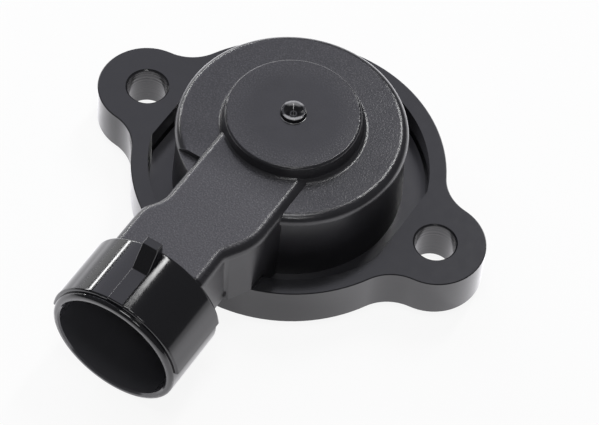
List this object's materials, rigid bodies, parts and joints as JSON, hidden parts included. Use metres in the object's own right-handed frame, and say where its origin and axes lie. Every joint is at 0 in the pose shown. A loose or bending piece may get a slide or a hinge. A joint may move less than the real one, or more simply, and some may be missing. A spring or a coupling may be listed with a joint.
{
  "type": "throttle position sensor",
  "caption": "Rotary throttle position sensor: eared mounting base, round cover with a raised disc, jogged arm and a round connector shroud with a latch.",
  "frame": {"origin": "on the rotor axis, midway between the ear holes, in the mounting face", "axes": "+Z away from the throttle body along the rotor axis, +X along the line of the ear holes, -Y towards the connector"},
  "size_m": [0.0674, 0.068, 0.0248],
  "materials": {
    "housing": "fine spark-eroded grain, glossy on the connector shroud",
    "base": "smooth satin black",
    "rotor": "smooth black",
    "terminal": "tinned",
    "board": "phenolic laminate",
    "track": "printed carbon film",
    "conductor": "printed silver film",
    "contact": "bright spring alloy",
    "spring": "drawn wire",
    "seal": "moulded rubber"
  },
  "bodies": {
    "sensor_body": {"base_plate": "base", "connector_housing": "housing", "neck_plate": "housing", "terminal_a": "terminal", "terminal_b": "terminal", "terminal_c": "terminal", "element_board": "board", "resistive_track": "track", "collector_track": "conductor", "conductor_a": "conductor", "conductor_b": "conductor", "conductor_c": "conductor", "return_spring": "spring", "spring_washer": "spring", "mount_seal": "seal", "cover_seal": "seal"},
    "wiper_rotor": {"rotor": "rotor", "wiper_brush": "contact"}
  },
  "joints": [
    {"name": "rotor_turn", "type": "hinge", "parent": "sensor_body", "child": "wiper_rotor", "pos_m": [0, 0, 0], "axis": [0, 0, 1], "range_deg": [0, 100], "stiffness_Nm_per_rad": 0.004, "deforming": ["return_spring"]}
  ]
}
